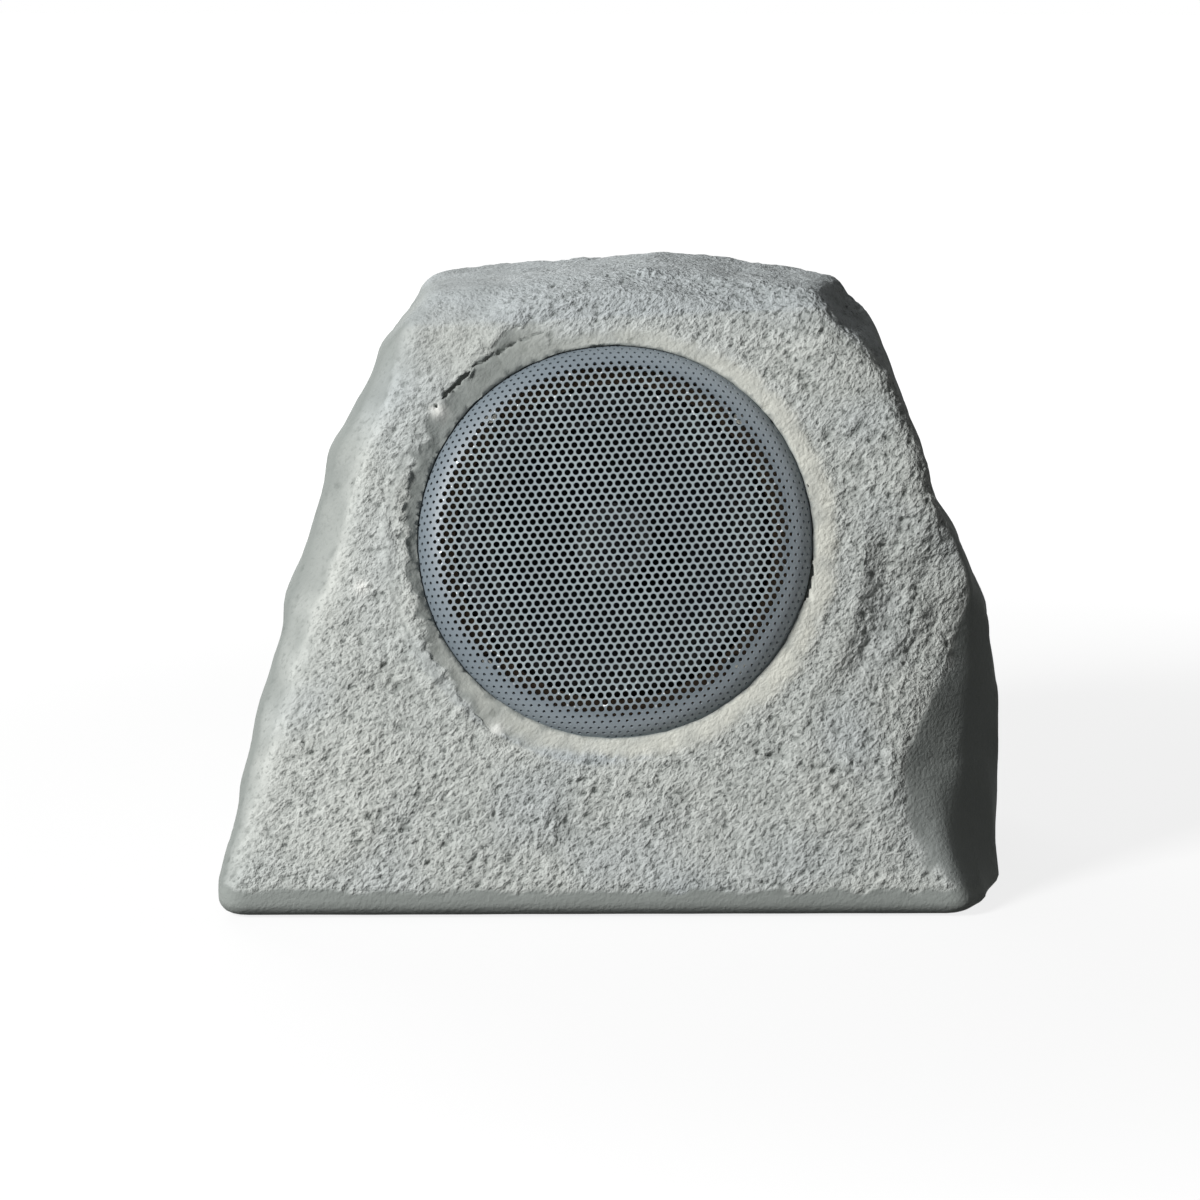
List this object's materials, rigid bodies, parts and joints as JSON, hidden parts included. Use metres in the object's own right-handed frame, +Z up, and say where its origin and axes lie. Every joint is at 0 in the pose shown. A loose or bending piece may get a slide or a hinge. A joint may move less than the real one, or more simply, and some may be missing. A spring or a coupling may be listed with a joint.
{
  "type": "rock shaped garden speaker",
  "caption": "Garden loudspeaker moulded as a faceted grey rock, with a domed perforated round grille on its sloping front, a coaxial driver inside, a screwed base and a rear cable gland.",
  "frame": {"origin": "on the ground, under the middle of the rock's outline", "axes": "+Z up, -Y is the front with the grille, +X is the viewer's right when facing the grille"},
  "size_m": [0.3424, 0.3062, 0.2722],
  "materials": {
    "rock": "rough moulded stone, weathered grey",
    "grille_paint": "satin blue-grey paint",
    "base_plastic": "matt dark grey",
    "black_plastic": "matt black",
    "gasket_rubber": "matt black rubber",
    "surround_rubber": "satin black rubber",
    "steel": "bright zinc",
    "plated_steel": "grey zinc",
    "frame_paint": "satin black paint",
    "gasket_board": "matt beige board",
    "cone": "matt black sheet",
    "former": "bare foil",
    "copper": "enamelled copper wire",
    "spider_cloth": "resin-dipped woven cloth",
    "ferrite": "ground dark ferrite",
    "dome": "coated cloth",
    "strip_board": "brown laminate",
    "circuit_board": "green lacquered laminate",
    "capacitor_film": "amber film wrap"
  },
  "bodies": {
    "speaker": {"rock_shell": "rock", "grille": "grille_paint", "base_plate": "base_plastic", "base_gasket": "gasket_rubber", "base_screws": "steel", "driver_seal": "gasket_rubber", "driver_frame": "frame_paint", "driver_screws": "steel", "front_gasket": "gasket_board", "surround": "surround_rubber", "spider": "spider_cloth", "top_plate": "plated_steel", "magnet": "ferrite", "back_plate": "plated_steel", "tweeter_post": "black_plastic", "post_nut": "plated_steel", "tweeter_cup": "black_plastic", "tweeter_ring": "black_plastic", "tweeter_dome": "dome", "terminal_strip": "strip_board", "board_pillars": "black_plastic", "board_screws": "steel", "crossover_board": "circuit_board", "crossover_coil": "copper", "crossover_capacitor": "capacitor_film", "gland_body": "black_plastic", "gland_washer": "gasket_rubber", "gland_seal": "gasket_rubber", "gland_nut": "black_plastic", "gland_locknut": "black_plastic"},
    "driver_cone": {"cone": "cone", "coil_former": "former", "voice_coil": "copper"}
  },
  "joints": [
    {"name": "cone_travel", "type": "slide", "parent": "speaker", "child": "driver_cone", "axis": [0, -0.9511, 0.309], "range_m": [-0.004, 0.004], "stiffness_N_per_m": 1200, "deforming": ["surround", "spider"]}
  ]
}
